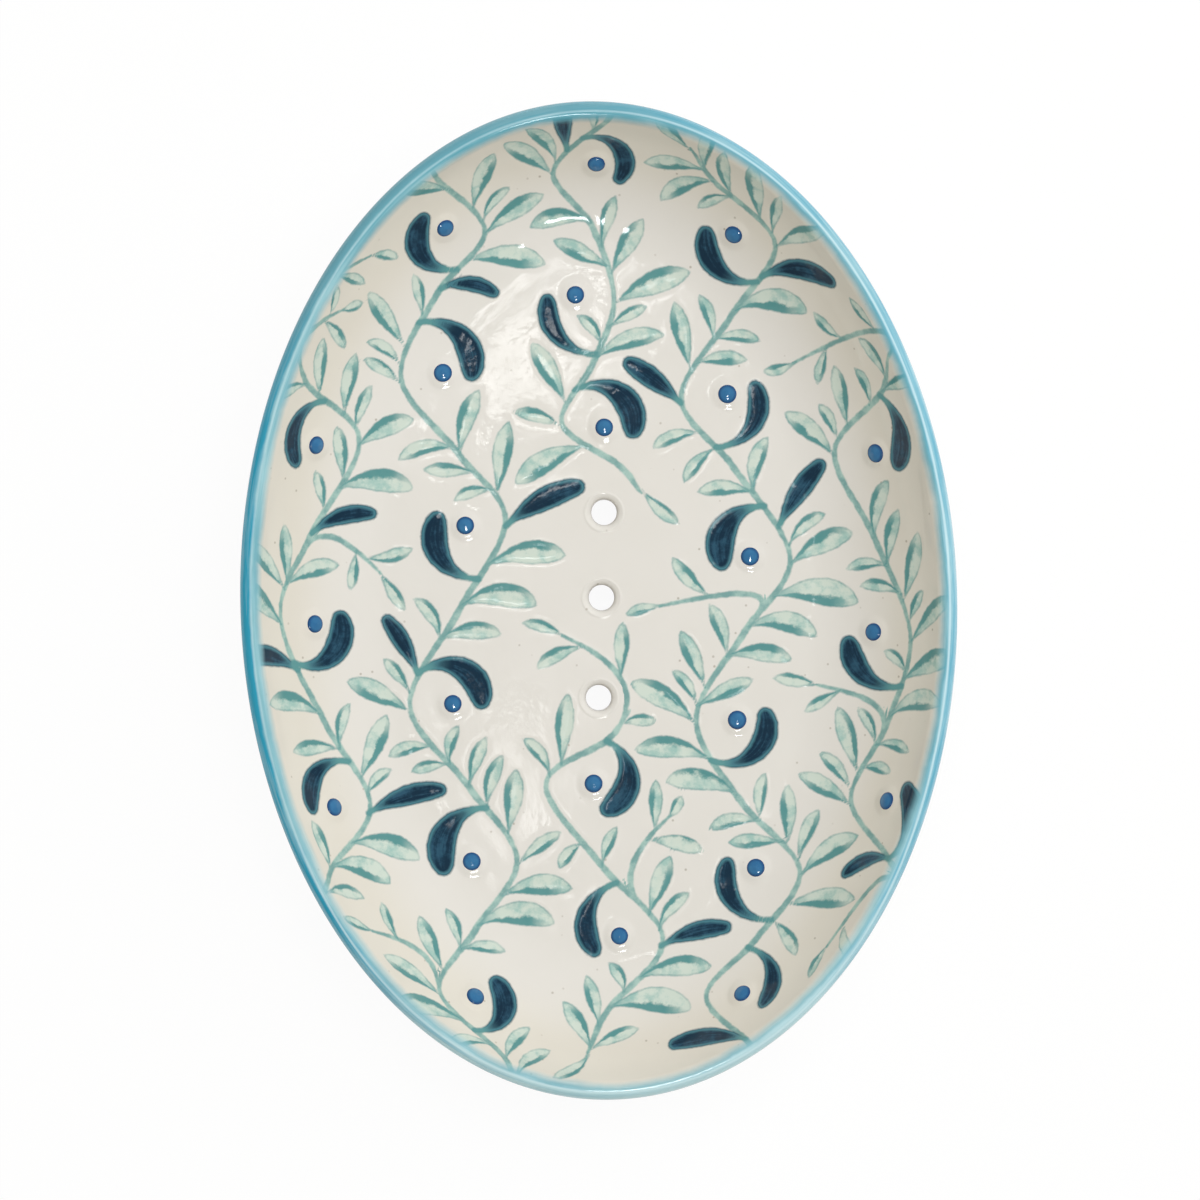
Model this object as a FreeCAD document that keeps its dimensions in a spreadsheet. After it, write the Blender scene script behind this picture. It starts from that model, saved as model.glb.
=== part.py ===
import FreeCAD, Part
import Sketcher
import os

# Oval soap dish: one pressed stoneware body with three hand-punched drain holes, glazed cream inside
# and out, with a turquoise glaze band over the lip and raised beads of cobalt glaze inside.
# It stands on a bare foot ring. The long axis is along Y, +Z is up, and the origin is on the table
# under the middle of the dish. Lengths are in millimetres, angles in degrees.

driving_sizes = {
    # The whole dish, measured over its glaze.
    "dish_length": 140.0,
    "dish_width": 100.5,
    "dish_height": 22.0,
    # The oval: the turns at which its side ends and its end starts, and the shoulder between them,
    # whose radius is a share of the mean of half the width and half the length.
    "side_turn": 24.6,
    "end_turn": 54.1,
    "shoulder_curve_share": 1.02,
    # The wall and the floor.
    "lip_thickness": 3.0,
    "wall_run": 21.5,
    "floor_thickness": 5.5,
    "floor_lap": 1.5,
    # The coats of glaze, and how far the turquoise band runs down from the lip on each side.
    "glaze_thickness": 0.4,
    "rim_band_inside": 0.6,
    "rim_band_outside": 4.5,
    # The foot ring, its sponged edges, its bare clay and the scallops that let water out.
    "foot_height": 5.0,
    "foot_inset": 16.0,
    "foot_thickness": 4.5,
    "foot_edge_bevel": 0.7,
    "bare_foot_height": 1.8,
    "scallop_width": 12.0,
    "scallop_height": 1.4,
    # The drain holes: a row punched by hand, not quite in line with the dish.
    "drain_bore": 3.6,
    "drain_edge_round": 0.9,
    "drain_centre_across": 0.4,
    "drain_centre_along": 0.4,
    "drain_pitch_back": 12.1,
    "drain_pitch_front": 14.2,
    "drain_row_angle": 3.4,
    # The beads of cobalt glaze.
    "bead_diameter": 2.7,
    "bead_rise": 0.6,
}

# Places of the beads, as shares of half the width and half the length, in five loose rows.
bead_place_shares = (
    (-0.78, 0.33), (-0.80, -0.03), (-0.76, -0.40),
    (-0.40, 0.76), (-0.42, 0.47), (-0.37, 0.16), (-0.42, -0.20), (-0.38, -0.52), (-0.38, -0.79),
    (0.03, 0.88), (-0.04, 0.62), (0.03, 0.35), (-0.03, -0.37), (0.03, -0.68),
    (0.41, 0.73), (0.38, 0.41), (0.43, 0.08), (0.38, -0.25), (0.42, -0.55), (0.37, -0.80),
    (0.79, 0.28), (0.77, -0.08), (0.79, -0.42),
)

# Under the glaze, each curve of the clay is kept to plain flats, which end at these shares of its turn.
flat_end_shares = (0.2, 0.4, 0.6, 0.8, 1.0)

doc = FreeCAD.newDocument("soap_dish")
sizes = doc.addObject("Spreadsheet::Sheet", "Sizes")
for row, (name, size) in enumerate(driving_sizes.items(), start=1):
    sizes.set(f"A{row}", name)
    sizes.set(f"B{row}", str(size))
    sizes.setAlias(f"B{row}", name)
doc.recompute()


def value_of(formula):
    """The number that a formula of sheet cells comes to."""
    return float(sizes.evalExpression(formula))


# Formulas of the wall section, cut on the long axis at the end of the dish.
# Each face is found by its depth below the glazed surface: none for glaze, one coat for clay.
GLAZED = "0"
CLAY = "Sizes.glaze_thickness"
ON_AXIS = "0"

edge = "(Sizes.dish_length / 2)"
lip_radius = "(Sizes.lip_thickness / 2)"
lip_level = f"(Sizes.dish_height - {lip_radius})"
lip_run = f"(Sizes.wall_run - {lip_radius})"
floor_level = "(Sizes.foot_height + Sizes.floor_thickness)"
curve_start = f"({edge} - Sizes.wall_run)"

# The inner wall is one arc, tangent to the floor and to the round of the lip.
inner_rise = f"({lip_level} - {floor_level})"
inner_curve = (
    f"(({lip_run}^2 + {inner_rise}^2 - {lip_radius}^2) / (2 * ({inner_rise} + {lip_radius})))"
)
inner_centre = f"({floor_level} + {inner_curve})"
inner_lip_turn = f"atan2({lip_run}; {inner_centre} - {lip_level})"
inner_band_turn = f"({inner_lip_turn} - Sizes.rim_band_inside / {inner_curve} * 1 rad)"

# The outer wall is one arc, tangent to the round of the lip and to the level of the underside.
outer_rise = f"({lip_level} - Sizes.foot_height)"
outer_curve = (
    f"(({lip_run}^2 + {outer_rise}^2 - {lip_radius}^2) / (2 * ({outer_rise} - {lip_radius})))"
)
outer_centre = f"(Sizes.foot_height + {outer_curve})"
outer_lip_turn = f"atan2({lip_run}; {outer_centre} - {lip_level})"
outer_band_turn = f"({outer_lip_turn} - Sizes.rim_band_outside / {outer_curve} * 1 rad)"

# The two upright sides of the foot ring.
foot_outside = f"({edge} - Sizes.foot_inset)"
foot_inside = f"({foot_outside} - Sizes.foot_thickness)"

# The swept wall ends on the flat floor, where a plate laps over it and fills the middle.
lap_inset = "(max(Sizes.wall_run; Sizes.foot_inset + Sizes.foot_thickness) + Sizes.floor_lap)"
lap_end = f"({edge} - {lap_inset})"
plate_inset = f"({lap_inset} - Sizes.floor_lap / 3)"

# The oval edge in plan: two ends, four shoulders and two sides, each an arc tangent to the next.
# The turns and the shoulder are given, and the other two radii make up the width and the length.
half_width = "(Sizes.dish_width / 2)"
side_turn = "(Sizes.side_turn * 1 deg)"
end_turn = "(Sizes.end_turn * 1 deg)"
shoulder_curve = f"(Sizes.shoulder_curve_share * sqrt({half_width} * {edge}))"
width_left = f"({half_width} - {shoulder_curve} * (cos({side_turn}) - cos({end_turn})))"
length_left = f"({edge} - {shoulder_curve} * (sin({end_turn}) - sin({side_turn})))"
turns_across = f"(cos({end_turn}) * sin({side_turn}) - (1 - cos({side_turn})) * (1 - sin({end_turn})))"
end_curve = (
    f"(({width_left} * sin({side_turn}) - {length_left} * (1 - cos({side_turn}))) / {turns_across})"
)
side_curve = (
    f"(({length_left} * cos({end_turn}) - {width_left} * (1 - sin({end_turn}))) / {turns_across})"
)
end_centre = f"({edge} - {end_curve})"
side_centre = f"({half_width} - {side_curve})"

drain_radius = "(Sizes.drain_bore / 2)"
drain_turn = "(Sizes.drain_row_angle * 1 deg)"
drain_steps = ("Sizes.drain_pitch_back", "0", "-Sizes.drain_pitch_front")
drain_places = [
    (
        f"(Sizes.drain_centre_across + {step} * sin({drain_turn}))",
        f"(Sizes.drain_centre_along + {step} * cos({drain_turn}))",
    )
    for step in drain_steps
]


def inner_wall(turn, depth):
    """A point of the inner wall, at a turn from straight down about the centre of its arc."""
    reach = f"({inner_curve} + {depth})"
    return f"{curve_start} + {reach} * sin({turn})", f"{inner_centre} - {reach} * cos({turn})"


def outer_wall(turn, depth):
    """A point of the outer wall, at a turn from straight down about the centre of its arc."""
    reach = f"({outer_curve} - {depth})"
    return f"{curve_start} + {reach} * sin({turn})", f"{outer_centre} - {reach} * cos({turn})"


def lip(turn, depth):
    """A point of the lip, at a turn from straight up about the centre of its round."""
    reach = f"({lip_radius} - {depth})"
    return f"{edge} - {lip_radius} + {reach} * sin({turn})", f"{lip_level} + {reach} * cos({turn})"


def floor_start(depth):
    return curve_start, f"{floor_level} - {depth}"


def foot_turn(depth):
    """The turn at which the outer wall runs into the foot's upright side."""
    return f"asin(({foot_outside} - {depth} - {curve_start}) / ({outer_curve} - {depth}))"


def left_turn(radius):
    return radius, 1


def right_turn(radius):
    return radius, -1


STRAIGHT = None


def clay_flats(curve, first_turn, last_turn):
    """The flats of the clay that follow a curve of the section from one turn to another."""
    return [
        (curve(f"({first_turn} + {share} * ({last_turn} - {first_turn}))", CLAY), STRAIGHT)
        for share in flat_end_shares
    ]


def new_body(label):
    body = doc.addObject("PartDesign::Body", label)
    body.Label = label
    return body


def new_sketch(body, name, plane_role):
    """A sketch on one of the body's own origin planes."""
    sketch = body.newObject("Sketcher::SketchObject", name)
    planes = {feature.Role: feature for feature in body.Origin.OriginFeatures}
    sketch.AttachmentSupport = [(planes[plane_role], "")]
    sketch.MapMode = "FlatFace"
    return sketch


def bind(sketch, formula, kind, *places):
    """A dimension of the sketch, tied to a formula of sheet cells."""
    constraint = sketch.addConstraint(Sketcher.Constraint(kind, *places, value_of(formula)))
    sketch.setExpression(f"Constraints[{constraint}]", formula)


def arc_between(start, finish, radius, way):
    """The short arc from start to finish, turning left (1) or right (-1), and its end numbers."""
    chord = finish - start
    middle = start + chord * 0.5
    left = FreeCAD.Vector(-chord.y, chord.x, 0).normalize()
    height = max(radius**2 - (chord.Length / 2) ** 2, 0) ** 0.5
    centre = middle + left * (height * way)
    first, last = (start, finish) if way > 0 else (finish, start)
    circle = Part.Circle(centre, FreeCAD.Vector(0, 0, 1), radius)
    arc = Part.ArcOfCircle(circle, circle.parameter(first), circle.parameter(last))
    return arc, ((1, 2) if way > 0 else (2, 1))


def draw_outline(sketch, outline):
    """A closed outline of lines and arcs: each step is the point it runs to and its bend."""
    corners = [FreeCAD.Vector(value_of(across), value_of(up), 0) for (across, up), _ in outline]
    ends = []
    for place, (point, bend) in enumerate(outline):
        start, finish = corners[place - 1], corners[place]
        if bend is STRAIGHT:
            line = sketch.addGeometry(Part.LineSegment(start, finish), False)
            ends.append((line, 1, 2))
        else:
            radius, way = bend
            arc, (first, last) = arc_between(start, finish, value_of(radius), way)
            curve = sketch.addGeometry(arc, False)
            ends.append((curve, first, last))
    for place, (point, bend) in enumerate(outline):
        before, (curve, first, last) = ends[place - 1], ends[place]
        sketch.addConstraint(Sketcher.Constraint("Coincident", before[0], before[2], curve, first))
        for formula, kind, axis in ((point[0], "DistanceX", -2), (point[1], "DistanceY", -1)):
            if formula == ON_AXIS:
                sketch.addConstraint(Sketcher.Constraint("PointOnObject", curve, last, axis))
            else:
                bind(sketch, formula, kind, -1, 1, curve, last)
        if bend is not STRAIGHT:
            bind(sketch, bend[0], "Radius", curve)


def draw_oval(sketch, inset):
    """The oval that runs within the dish's edge at an even inset, from the far end round to the left."""
    end = left_turn(f"({end_curve} - {inset})")
    shoulder = left_turn(f"({shoulder_curve} - {inset})")
    side = left_turn(f"({side_curve} - {inset})")
    end_across = f"({end[0]} * cos({end_turn}))"
    end_along = f"({end_centre} + {end[0]} * sin({end_turn}))"
    side_across = f"({side_centre} + {side[0]} * cos({side_turn}))"
    side_along = f"({side[0]} * sin({side_turn}))"
    outline = [
        ((f"-{end_across}", end_along), end),
        ((f"-{side_across}", side_along), shoulder),
        ((f"-{side_across}", f"-{side_along}"), side),
        ((f"-{end_across}", f"-{end_along}"), shoulder),
        ((end_across, f"-{end_along}"), end),
        ((side_across, f"-{side_along}"), shoulder),
        ((side_across, side_along), side),
        ((end_across, end_along), shoulder),
        ((ON_AXIS, f"{edge} - {inset}"), end),
    ]
    draw_outline(sketch, outline)


def draw_drains(sketch, radius):
    """The three drain holes as circles."""
    for across, along in drain_places:
        centre = FreeCAD.Vector(value_of(across), value_of(along), 0)
        circle = Part.Circle(centre, FreeCAD.Vector(0, 0, 1), value_of(radius))
        hole = sketch.addGeometry(circle, False)
        bind(sketch, across, "DistanceX", -1, 1, hole, 3)
        bind(sketch, along, "DistanceY", -1, 1, hole, 3)
        bind(sketch, radius, "Radius", hole)


def sweep_round(body, outline):
    """The wall section carried round the oval edge of the dish."""
    path = new_sketch(body, f"{body.Label}_path", "XY_Plane")
    draw_oval(path, GLAZED)
    section = new_sketch(body, f"{body.Label}_section", "YZ_Plane")
    draw_outline(section, outline)
    doc.recompute()
    wall = body.newObject("PartDesign::AdditivePipe", f"{body.Label}_wall")
    wall.Profile = section
    wall.Spine = path
    doc.recompute()


def fill_middle(body, low, high, hole_radius):
    """An oval plate that laps over the swept wall, pierced where the drains go through."""
    outline = new_sketch(body, f"{body.Label}_plate_outline", "XY_Plane")
    outline.setExpression("AttachmentOffset.Base.z", low)
    draw_oval(outline, plate_inset)
    draw_drains(outline, hole_radius)
    plate = body.newObject("PartDesign::Pad", f"{body.Label}_plate")
    plate.Profile = outline
    plate.setExpression("Length", f"{high} - {low}")
    doc.recompute()
    return plate


# The clay body, pressed in one piece: lip, wall, floor and foot ring, with the drains punched out.
stoneware = new_body("stoneware_body")
clay_section = [
    *clay_flats(lip, f"(-{inner_lip_turn})", f"(180 deg - {outer_lip_turn})"),
    (outer_wall(outer_band_turn, CLAY), STRAIGHT),
    *clay_flats(outer_wall, outer_band_turn, foot_turn(CLAY)),
    ((f"{foot_outside} - {CLAY}", "Sizes.foot_edge_bevel"), STRAIGHT),
    ((f"{foot_outside} - {CLAY} - Sizes.foot_edge_bevel", ON_AXIS), STRAIGHT),
    ((f"{foot_inside} + {CLAY} + Sizes.foot_edge_bevel", ON_AXIS), STRAIGHT),
    ((f"{foot_inside} + {CLAY}", "Sizes.foot_edge_bevel"), STRAIGHT),
    ((f"{foot_inside} + {CLAY}", f"Sizes.foot_height + {CLAY}"), STRAIGHT),
    ((lap_end, f"Sizes.foot_height + {CLAY}"), STRAIGHT),
    ((lap_end, f"{floor_level} - {CLAY}"), STRAIGHT),
    (floor_start(CLAY), STRAIGHT),
    *clay_flats(inner_wall, "0 deg", inner_band_turn),
    (inner_wall(inner_lip_turn, CLAY), STRAIGHT),
]
sweep_round(stoneware, clay_section)
clay_floor = f"({floor_level} - {CLAY})"
drain_clay_radius = f"({drain_radius} + {CLAY})"
fill_middle(stoneware, f"(Sizes.foot_height + {CLAY})", clay_floor, drain_clay_radius)

# The clay edge of each drain is bevelled, a coat less than the round of the glaze over it.
punched = stoneware.Tip
drain_edges = [
    f"Edge{number}"
    for number, rim in enumerate(punched.Shape.Edges, start=1)
    if isinstance(rim.Curve, Part.Circle)
    and abs(rim.Curve.Radius - value_of(drain_clay_radius)) < Part.Precision.confusion()
    and rim.Curve.Center.z > value_of("Sizes.foot_height + Sizes.floor_thickness / 2")
]
drain_bevels = stoneware.newObject("PartDesign::Chamfer", "drain_bevels")
drain_bevels.Base = (punched, drain_edges)
drain_bevels.setExpression("Size", f"Sizes.drain_edge_round - {CLAY}")
doc.recompute()

# Two scallops under the ends of the foot ring let the drained water run out.
scallop_radius = (
    "(((Sizes.scallop_width / 2)^2 + Sizes.scallop_height^2) / (2 * Sizes.scallop_height))"
)
scallop_round = new_sketch(stoneware, "scallop_round", "XZ_Plane")
scallop_sink = f"({scallop_radius} - Sizes.scallop_height)"
scallop_centre = FreeCAD.Vector(0, -value_of(scallop_sink), 0)
scallop_circle = Part.Circle(scallop_centre, FreeCAD.Vector(0, 0, 1), value_of(scallop_radius))
scallop_arc = scallop_round.addGeometry(scallop_circle, False)
scallop_round.addConstraint(Sketcher.Constraint("PointOnObject", scallop_arc, 3, -2))
bind(scallop_round, scallop_sink, "DistanceY", scallop_arc, 3, -1, 1)
bind(scallop_round, scallop_radius, "Radius", scallop_arc)
scallops = stoneware.newObject("PartDesign::Pocket", "scallops")
scallops.Profile = scallop_round
scallops.Midplane = True
scallops.setExpression("Length", "Sizes.dish_length")
doc.recompute()

# The cream glaze inside, with the collars that run down through the drains.
liner = new_body("liner_glaze")
liner_section = [
    (floor_start(GLAZED), right_turn(inner_curve)),
    ((lap_end, floor_level), STRAIGHT),
    ((lap_end, clay_floor), STRAIGHT),
    (floor_start(CLAY), STRAIGHT),
    *clay_flats(inner_wall, "0 deg", inner_band_turn),
    (inner_wall(inner_band_turn, GLAZED), STRAIGHT),
]
sweep_round(liner, liner_section)
drain_flare = f"({drain_radius} + Sizes.drain_edge_round)"
drain_bend_level = f"({floor_level} - Sizes.drain_edge_round)"
drain_foot_level = f"(Sizes.foot_height + {CLAY})"
fill_middle(liner, clay_floor, floor_level, drain_flare)
collar_section = [
    ((drain_radius, drain_bend_level), STRAIGHT),
    ((drain_flare, floor_level), right_turn("Sizes.drain_edge_round")),
    ((drain_flare, clay_floor), STRAIGHT),
    ((drain_clay_radius, drain_bend_level), STRAIGHT),
    ((drain_clay_radius, drain_foot_level), STRAIGHT),
    ((drain_radius, drain_foot_level), STRAIGHT),
]
for number, (across, along) in enumerate(drain_places, start=1):
    collar_outline = new_sketch(liner, f"drain_collar_outline_{number}", "XZ_Plane")
    collar_outline.setExpression("AttachmentOffset.Base.x", across)
    collar_outline.setExpression("AttachmentOffset.Base.z", f"-{along}")
    draw_outline(collar_outline, collar_section)
    doc.recompute()
    collar = liner.newObject("PartDesign::Revolution", f"drain_collar_{number}")
    collar.Profile = collar_outline
    collar.ReferenceAxis = (collar_outline, ["V_Axis"])
    collar.Angle = 360
    doc.recompute()

# The turquoise glaze band, brushed over the lip.
rim = new_body("rim_glaze")
rim_section = [
    (inner_wall(inner_lip_turn, GLAZED), left_turn(inner_curve)),
    (lip("0 deg", GLAZED), right_turn(lip_radius)),
    (outer_wall(outer_lip_turn, GLAZED), right_turn(lip_radius)),
    (outer_wall(outer_band_turn, GLAZED), right_turn(outer_curve)),
    (outer_wall(outer_band_turn, CLAY), STRAIGHT),
    (outer_wall(outer_lip_turn, CLAY), STRAIGHT),
    *reversed(clay_flats(lip, f"(-{inner_lip_turn})", f"(180 deg - {outer_lip_turn})")[:-1]),
    (inner_wall(inner_lip_turn, CLAY), STRAIGHT),
    (inner_wall(inner_band_turn, CLAY), STRAIGHT),
    (inner_wall(inner_band_turn, GLAZED), STRAIGHT),
]
sweep_round(rim, rim_section)

# The cream glaze outside, from the band down to the line where the foot was wiped clean.
outside = new_body("outer_glaze")
outside_section = [
    (outer_wall(foot_turn(GLAZED), GLAZED), right_turn(outer_curve)),
    ((foot_outside, "Sizes.bare_foot_height"), STRAIGHT),
    ((f"{foot_outside} - {CLAY}", "Sizes.bare_foot_height"), STRAIGHT),
    (outer_wall(foot_turn(CLAY), CLAY), STRAIGHT),
    *reversed(clay_flats(outer_wall, outer_band_turn, foot_turn(CLAY))[:-1]),
    (outer_wall(outer_band_turn, CLAY), STRAIGHT),
    (outer_wall(outer_band_turn, GLAZED), STRAIGHT),
]
sweep_round(outside, outside_section)

# The cream glaze under the floor, inside the foot ring.
underside = new_body("underside_glaze")
underside_section = [
    ((foot_inside, "Sizes.foot_height"), STRAIGHT),
    ((lap_end, "Sizes.foot_height"), STRAIGHT),
    ((lap_end, drain_foot_level), STRAIGHT),
    ((f"{foot_inside} + {CLAY}", drain_foot_level), STRAIGHT),
    ((f"{foot_inside} + {CLAY}", "Sizes.bare_foot_height"), STRAIGHT),
    ((foot_inside, "Sizes.bare_foot_height"), STRAIGHT),
]
sweep_round(underside, underside_section)
fill_middle(underside, "Sizes.foot_height", drain_foot_level, drain_radius)


# The cobalt beads: low domes of thick glaze, each square to the surface where it was dropped.
def liner_surface(across, along):
    """The point of the glazed inside straight below a place in plan, and the way it faces."""
    low = FreeCAD.Vector(across, along, value_of("Sizes.foot_height"))
    high = FreeCAD.Vector(across, along, value_of("Sizes.dish_height"))
    through = liner.Shape.common(Part.makeLine(low, high))
    point = max((vertex.Point for vertex in through.Vertexes), key=lambda place: place.z)
    support = Part.Vertex(point).distToShape(liner.Shape)[2][0]
    facing = liner.Shape.Faces[support[4]].normalAt(*support[5])
    return point, facing if facing.z > 0 else facing * -1


bead_radius = "(((Sizes.bead_diameter / 2)^2 + Sizes.bead_rise^2) / (2 * Sizes.bead_rise))"
bead_seat = "(Sizes.glaze_thickness / 4)"
bead_sink = f"({bead_radius} - Sizes.bead_rise)"
drops = []
for number, (across_share, along_share) in enumerate(bead_place_shares, start=1):
    point, facing = liner_surface(across_share * value_of(half_width), along_share * value_of(edge))
    drop = doc.addObject("Part::Sphere", f"drop_{number}")
    drop.setExpression("Radius", bead_radius)
    drop.setExpression("Angle1", f"asin(({bead_sink} - {bead_seat}) / {bead_radius})")
    centre = point - facing * value_of(bead_sink)
    drop.Placement = FreeCAD.Placement(centre, FreeCAD.Rotation(FreeCAD.Vector(0, 0, 1), facing))
    drops.append(drop)
all_drops = doc.addObject("Part::Compound", "all_drops")
all_drops.Links = drops
beads = doc.addObject("Part::Cut", "glaze_beads")
beads.Label = "glaze_beads"
beads.Base = all_drops
beads.Tool = liner
doc.recompute()

# Everything is checked before anything is written.
nodes = (stoneware, liner, rim, outside, underside, beads)
for feature in doc.Objects:
    if {"Invalid", "Error"} & set(feature.State):
        raise RuntimeError(f"{feature.Label} did not build: {feature.State}")
for node in nodes:
    if node.Shape.isNull() or not node.Shape.isValid():
        raise RuntimeError(f"{node.Label} has no valid shape")

os.makedirs("parts", exist_ok=True)
for node in nodes:
    node.Shape.exportStep(f"parts/{node.Label}.step")
    print(node.Label, len(node.Shape.Solids), "solids", round(node.Shape.Volume, 1), "cubic mm")
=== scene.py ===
import bpy
import bmesh
import math
import numpy as np
from mathutils import Matrix, Vector, noise


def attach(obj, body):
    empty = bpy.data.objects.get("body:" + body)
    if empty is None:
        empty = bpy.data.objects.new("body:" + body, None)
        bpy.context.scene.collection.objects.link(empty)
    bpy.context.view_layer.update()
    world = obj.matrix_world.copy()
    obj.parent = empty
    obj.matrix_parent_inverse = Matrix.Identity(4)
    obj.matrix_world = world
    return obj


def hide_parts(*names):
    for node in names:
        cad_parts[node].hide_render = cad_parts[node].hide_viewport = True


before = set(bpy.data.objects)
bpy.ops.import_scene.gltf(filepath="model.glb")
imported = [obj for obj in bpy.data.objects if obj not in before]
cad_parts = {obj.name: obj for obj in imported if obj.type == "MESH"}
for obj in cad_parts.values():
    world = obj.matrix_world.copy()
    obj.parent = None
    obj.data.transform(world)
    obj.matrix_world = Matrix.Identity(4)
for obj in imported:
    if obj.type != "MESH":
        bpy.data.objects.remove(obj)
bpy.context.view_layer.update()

# The scroll: an own pattern of weaving vines, brushed by hand on the raw glaze before firing.
# Teal leaves were outlined and washed on thin, navy strokes loaded thick, and both sank into the liner
# in the kiln. It is laid out flat here, in millimetres along the surface, and painted on the liner below.
half_width, half_length = 0.05025, 0.070
floor_level, wall_run = 0.0105, 0.0215
lip_radius, lip_level = 0.0015, 0.0205

# The wall is one arc, level with the floor at its foot and tangent to the round lip at its top.
lip_reach, lip_rise = wall_run - lip_radius, lip_level - floor_level
wall_curve = (lip_reach**2 + lip_rise**2 - lip_radius**2) / (2 * (lip_rise + lip_radius))

# The beads stand in five loose rows, given as shares of the half width and the half length.
bead_shares = np.array((
    (-0.78, 0.33), (-0.80, -0.03), (-0.76, -0.40),
    (-0.40, 0.76), (-0.42, 0.47), (-0.37, 0.16), (-0.42, -0.20), (-0.38, -0.52), (-0.38, -0.79),
    (0.03, 0.88), (-0.04, 0.62), (0.03, 0.35), (-0.03, -0.37), (0.03, -0.68),
    (0.41, 0.73), (0.38, 0.41), (0.43, 0.08), (0.38, -0.25), (0.42, -0.55), (0.37, -0.80),
    (0.79, 0.28), (0.77, -0.08), (0.79, -0.42),
))
drain_spots = ((0.001118, 0.012479), (0.0004, 0.0004), (-0.000442, -0.013775))


def outline(turn):
    """Points of the dish's oval edge, and the ways they face, at turns of the ellipse."""
    edge = np.stack([half_width * np.cos(turn), half_length * np.sin(turn)], axis=-1)
    outward = np.stack([half_length * np.cos(turn), half_width * np.sin(turn)], axis=-1)
    return edge, outward / np.linalg.norm(outward, axis=-1, keepdims=True)


def wall_place(across, along):
    """The turn of the oval and the lift of the wall's section that lie over a place in plan."""
    turn = math.atan2(along / half_length, across / half_width)
    for _ in range(40):
        edge, outward = outline(turn)
        ahead = np.array([-half_width * math.sin(turn), half_length * math.cos(turn)])
        off = edge - (across, along)
        turn -= float(np.clip(off @ ahead / (ahead @ ahead - off @ edge), -0.2, 0.2))
    edge, outward = outline(turn)
    inset = (edge - (across, along)) @ outward
    return turn, math.asin(max(wall_run - inset, 0) / wall_curve)


def laid_flat(across, along):
    """A place in plan, measured along the glazed surface, in millimetres."""
    turn, lift = wall_place(across, along)
    edge, outward = outline(turn)
    if lift > 0:
        return (edge - wall_run * outward + wall_curve * lift * outward) * 1000
    return np.array([across, along]) * 1000


brush = np.random.default_rng(11)
bead_plan = bead_shares * (half_width, half_length)
beads_flat = np.array([laid_flat(across, along) for across, along in bead_plan])
drains_flat = np.array(drain_spots) * 1000
painted_oval = np.array((49.7, 69.5))
bead_clear, drain_clear, far_off = 1.9, 2.9, 5.0
kept_clear = np.vstack([np.column_stack([beads_flat, np.full(len(beads_flat), bead_clear)]),
                        np.column_stack([drains_flat, np.full(len(drains_flat), drain_clear)])])

# The half width along each kind of stroke, as a share of its greatest. A leaf is widest past its middle,
# a navy stroke swells from a thin foot to a blunt end, and a stem tapers both ways.
stroke_steps = 24
along_stroke = np.linspace(0, 1, stroke_steps)
navy_belly, navy_end = 0.66, 0.46
stroke_widths = {
    "leaf": 0.1 + 0.9 * np.sin(np.pi * along_stroke**1.5) ** 0.85,
    "navy": np.where(
        along_stroke < navy_belly,
        0.14 + 0.86 * np.sin(np.pi / 2 * np.minimum(along_stroke / navy_belly, 1)) ** 1.4,
        np.sqrt(1 - (np.maximum(along_stroke - navy_belly, 0) / navy_end) ** 2),
    ),
    "stem": 0.5 + 0.5 * np.sin(np.pi * along_stroke) ** 0.7,
}
strokes = {"stem": [], "leaf": [], "navy": []}
taken = {"fill": kept_clear, "stem": np.zeros((0, 3))}


def lay(kind, spine, half):
    """Keeps a stroke: the places along its middle and its half width at each."""
    strokes[kind].append((spine, half, brush.uniform()))
    layer = "stem" if kind == "stem" else "fill"
    taken[layer] = np.vstack([taken[layer], np.column_stack([spine, half])])


def apart(places, others):
    """The distance from each place to each of the others."""
    return np.hypot(places[:, None, 0] - others[None, :, 0], places[:, None, 1] - others[None, :, 1])


def clearance(rings, spine, half):
    """Least clear distance between a stroke and the rings that stand for what is painted."""
    near = (rings[:, :2] > spine.min(0) - far_off) & (rings[:, :2] < spine.max(0) + far_off)
    rings = rings[near.all(axis=1)]
    if not len(rings):
        return far_off
    return (apart(spine, rings) - half[:, None] - rings[None, :, 2]).min()


def room(spine, half, foot, vine_foot=13):
    """Clear distance round a stroke, leaving out its foot, where it grows from a vine."""
    off_vine = max(foot, vine_foot)
    return min(clearance(taken["fill"], spine[foot:], half[foot:]),
               clearance(taken["stem"], spine[off_vine:], half[off_vine:]))


def bent(start, heading, length, bend):
    """The middle of a stroke that leaves a place at a heading and bends as it goes."""
    turns = heading + bend * (along_stroke[1:] + along_stroke[:-1]) / 2
    walk = np.stack([np.cos(turns), np.sin(turns)], axis=1) * length / (stroke_steps - 1)
    return start + np.vstack([[0, 0], np.cumsum(walk, axis=0)])


def try_stroke(kind, spine, width, gap, foot):
    """Lays a stroke where there is room for it on the dish. Its end may run off under the band."""
    half = width * stroke_widths[kind]
    off_dish = np.hypot(*(spine[stroke_steps // 3] / painted_oval)) > 1.02
    if off_dish or room(spine, half, foot) < gap:
        return False
    lay(kind, spine, half)
    return True


def smooth_line(points, steps):
    """A line that bends evenly through a row of points."""
    row = np.array([2 * points[0] - points[1], *points, 2 * points[-1] - points[-2]])
    share = np.linspace(0, 1, steps, endpoint=False)[:, None]
    spans = []
    for before, first, last, after in zip(row, row[1:], row[2:], row[3:]):
        spans.append(
            first + 0.5 * share * (last - before)
            + share**2 * (before - 2.5 * first + 2 * last - 0.5 * after)
            + share**3 * (1.5 * (first - last) + 0.5 * (after - before))
        )
    return np.vstack([*spans, row[-2:-1]])


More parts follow.
